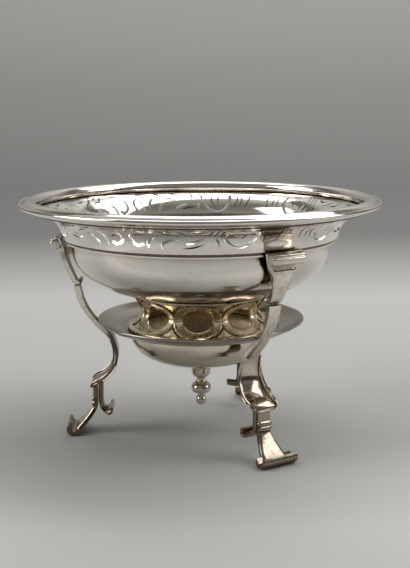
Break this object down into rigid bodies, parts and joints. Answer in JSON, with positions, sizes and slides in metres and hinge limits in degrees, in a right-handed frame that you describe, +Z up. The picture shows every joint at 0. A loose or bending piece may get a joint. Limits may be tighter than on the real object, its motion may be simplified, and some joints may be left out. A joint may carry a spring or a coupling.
{
  "type": "dish warmer",
  "caption": "Round silver charcoal brazier with a pierced flared border, a ring gallery over an ash bowl, and scroll legs. A hot dish stands on its rim.",
  "frame": {"origin": "on the bowl's axis, on the surface that the three feet stand on", "axes": "+Z up along the bowl's axis, -Y towards the pictured front"},
  "size_m": [0.2, 0.2, 0.1345],
  "materials": {
    "polished_silver": "polished",
    "worn_silver": "worn polish",
    "heat_tarnished_silver": "heat tarnished",
    "sooted_metal": "sooted"
  },
  "bodies": {
    "brazier": {"rim_moulding": "polished_silver", "pierced_border": "polished_silver", "bowl_pan": "worn_silver", "gallery_bead": "heat_tarnished_silver", "gallery": "heat_tarnished_silver", "drip_dish": "worn_silver", "ash_bowl": "worn_silver", "finial": "polished_silver", "finial_washer": "sooted_metal", "finial_nut": "sooted_metal", "leg_scroll_front_right": "polished_silver", "leg_strap_front_right": "polished_silver", "toe_foot_front_right": "polished_silver", "spur_foot_front_right": "polished_silver", "leg_scroll_left": "polished_silver", "leg_strap_left": "polished_silver", "toe_foot_left": "polished_silver", "spur_foot_left": "polished_silver", "leg_scroll_back": "polished_silver", "leg_strap_back": "polished_silver", "toe_foot_back": "polished_silver", "spur_foot_back": "polished_silver"},
    "grate_plate": {"grate": "sooted_metal"}
  },
  "joints": [
    {"name": "grate_lift", "type": "slide", "parent": "brazier", "child": "grate_plate", "axis": [0, 0, 1], "range_m": [0, 0.06]}
  ]
}
